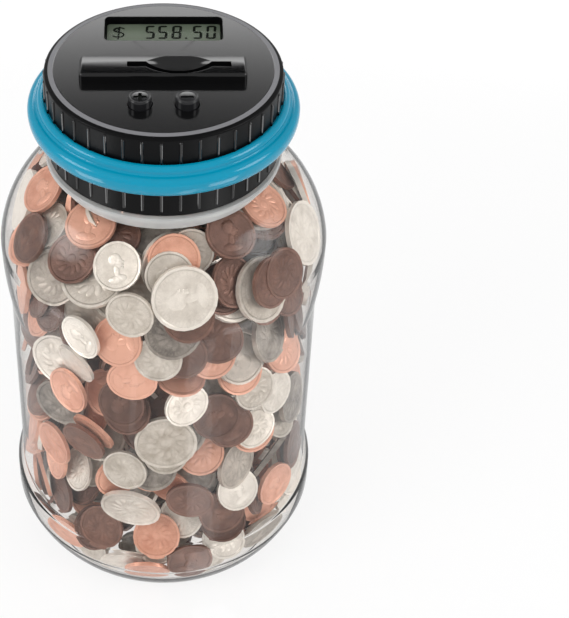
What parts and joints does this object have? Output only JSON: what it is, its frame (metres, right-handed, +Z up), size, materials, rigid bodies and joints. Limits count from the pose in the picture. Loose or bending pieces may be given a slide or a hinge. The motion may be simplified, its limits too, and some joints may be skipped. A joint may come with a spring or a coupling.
{
  "type": "digital coin counting jar",
  "caption": "Clear round jar with a screw lid that takes coins through a slot, measures each with a lever and shows the running total on a display.",
  "frame": {"origin": "centre of the jar's base, on the surface it stands on", "axes": "+Z up along the jar's axis, -Y towards the two buttons, display towards +Y, +X to the right of someone facing the buttons"},
  "size_m": [0.126, 0.126, 0.2325],
  "materials": {
    "clear_plastic": "clear polished",
    "black_plastic": "polished",
    "blue_plastic": "translucent polished",
    "lid_button": "polished",
    "seal_foam": "soft",
    "clear_window": "clear polished",
    "display_glass": "grey green reflective backing",
    "inner_plastic": "moulded",
    "conductive_rubber": "matt",
    "board_green": "solder mask",
    "chip_black": "matt",
    "bright_metal": "plated",
    "silicone": "translucent",
    "cell_jacket": "plain sleeve"
  },
  "bodies": {
    "jar": {"jar_base": "clear_plastic", "jar_wall": "clear_plastic", "jar_shoulder": "clear_plastic", "jar_neck": "clear_plastic"},
    "seal": {"lid_seal": "seal_foam"},
    "plus_key": {"plus_button": "lid_button"},
    "minus_key": {"minus_button": "lid_button"},
    "lever": {"coin_lever": "inner_plastic", "lever_shaft": "bright_metal", "contact_wiper": "bright_metal"},
    "door": {"battery_door": "black_plastic", "door_screw": "bright_metal"},
    "lid": {"lid_base": "black_plastic", "trim_ring": "blue_plastic", "top_cover": "black_plastic", "slot_bar": "black_plastic", "lcd_window": "clear_window", "lcd_glass": "display_glass", "lcd_frame": "inner_plastic", "contact_strips": "conductive_rubber", "circuit_board": "board_green", "controller_chip": "chip_black", "crystal": "bright_metal", "plus_dome": "silicone", "minus_dome": "silicone", "chute_front": "inner_plastic", "chute_rear": "inner_plastic", "encoder_board": "board_green", "lever_spring": "bright_metal", "battery_front": "cell_jacket", "battery_rear": "cell_jacket", "bridge_contact": "bright_metal", "plus_contact": "bright_metal", "minus_contact": "bright_metal", "case_screws": "bright_metal", "board_screws": "bright_metal"}
  },
  "joints": [
    {"name": "lid_lift", "type": "slide", "parent": "jar", "child": "seal", "axis": [0, 0, 1], "range_m": [0, 0.012]},
    {"name": "lid_turn", "type": "hinge", "parent": "seal", "child": "lid", "pos_m": [0, 0, 0.212], "axis": [0, 0, 1], "range_deg": [0, 720]},
    {"name": "plus_press", "type": "slide", "parent": "lid", "child": "plus_key", "axis": [0, 0, -1], "range_m": [0, 0.0008], "stiffness_N_per_m": 300, "springref_m": -0.001, "deforming": ["plus_dome"]},
    {"name": "minus_press", "type": "slide", "parent": "lid", "child": "minus_key", "axis": [0, 0, -1], "range_m": [0, 0.0008], "stiffness_N_per_m": 300, "springref_m": -0.001, "deforming": ["minus_dome"]},
    {"name": "lever_swing", "type": "hinge", "parent": "lid", "child": "lever", "pos_m": [-0.022, -0.0039, 0.222], "axis": [0, 1, 0], "range_deg": [0, 39], "stiffness_Nm_per_rad": 0.002, "springref_deg": -34.38, "deforming": ["lever_spring"]},
    {"name": "door_drop", "type": "slide", "parent": "lid", "child": "door", "axis": [0, 0, -1], "range_m": [0, 0.012]}
  ],
  "couplings": [
    {"joint": "lid_lift", "follows": "lid_turn", "m_per_rad": 0.00095493}
  ]
}
